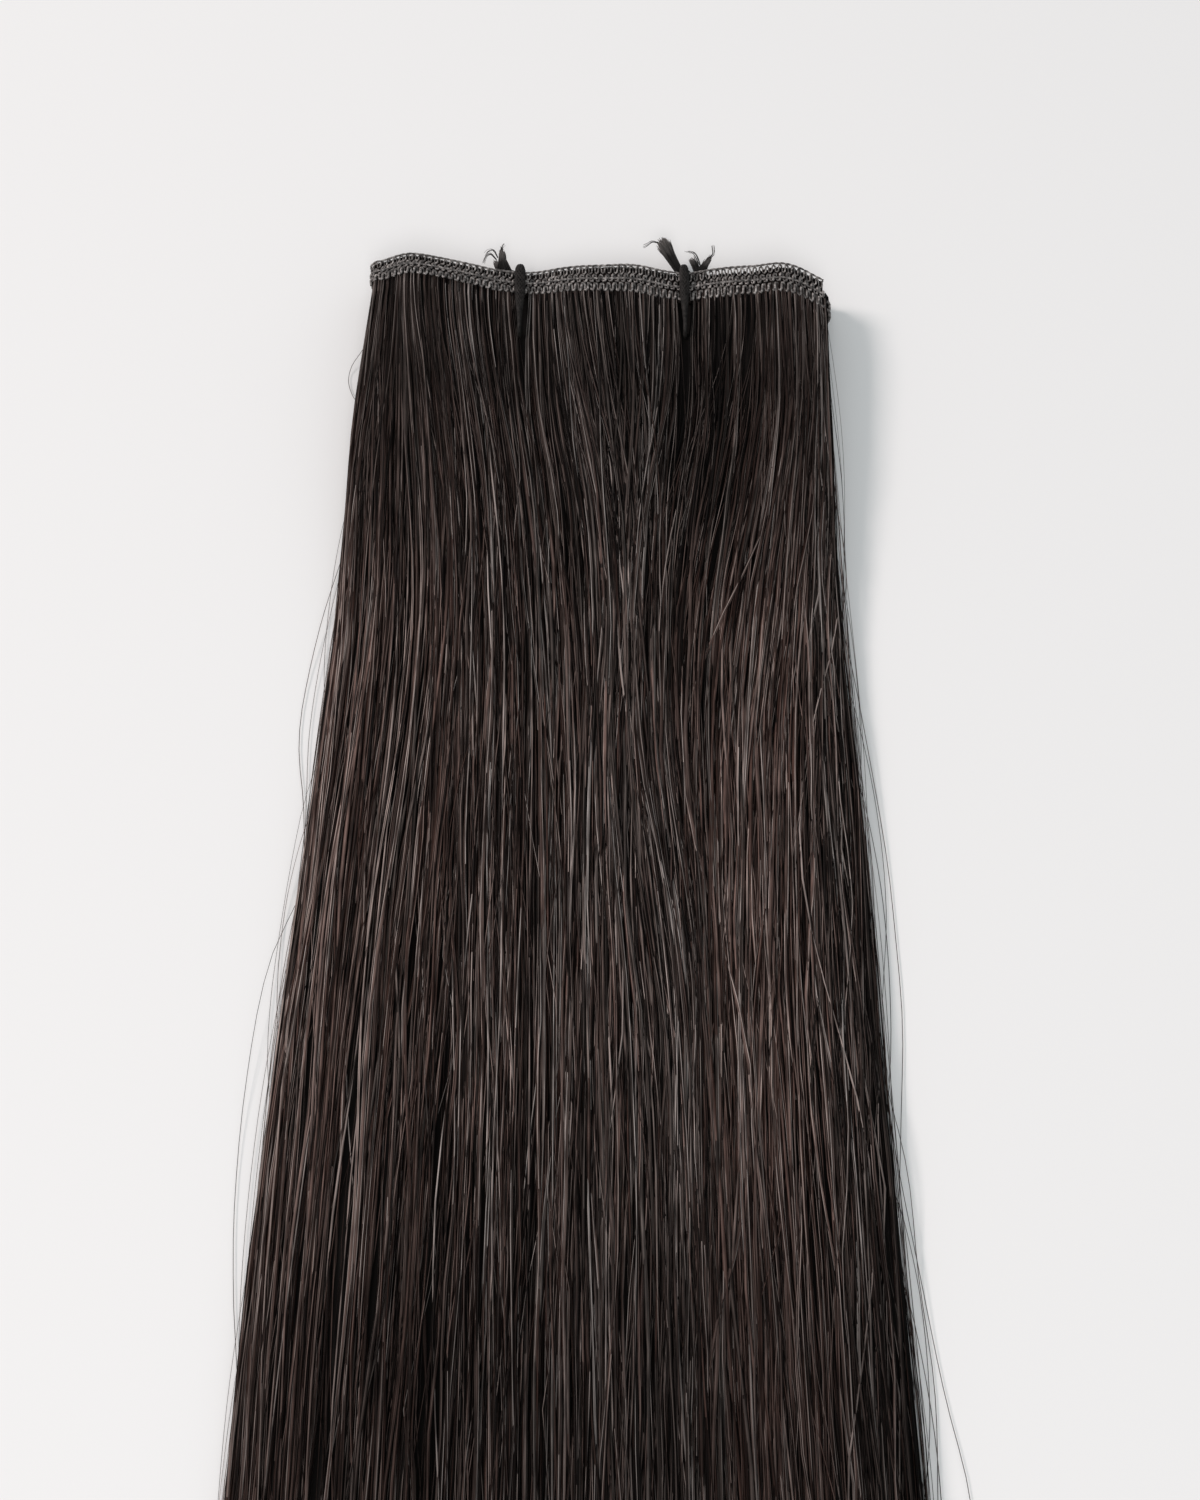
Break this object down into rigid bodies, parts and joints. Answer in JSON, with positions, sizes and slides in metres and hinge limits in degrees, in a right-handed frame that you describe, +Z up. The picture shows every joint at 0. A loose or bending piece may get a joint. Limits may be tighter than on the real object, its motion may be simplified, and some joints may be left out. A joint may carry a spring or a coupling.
{
  "type": "hair weft",
  "caption": "Straight dark brown hair weft, its sewn track folded flat on itself and held by knotted elastic ties, lying on a table with the hair combed out below it.",
  "frame": {"origin": "on the table, under the middle of the whole weft's box", "axes": "+X along the sewn track, +Y from the hair's tips towards the track, +Z up from the table"},
  "size_m": [0.1162, 0.4722, 0.0114],
  "materials": {
    "hair": "combed straight hair, espresso brown, soft sheen",
    "track_thread": "taupe grey chain-stitched sewing thread over hair roots",
    "elastic": "matt charcoal braided elastic cord with frayed cut ends"
  },
  "bodies": {
    "root": {"weft_track": "track_thread", "hair_front": "hair", "hair_middle": "hair", "hair_back": "hair", "tie_left": "elastic", "tie_right": "elastic"}
  },
  "joints": []
}
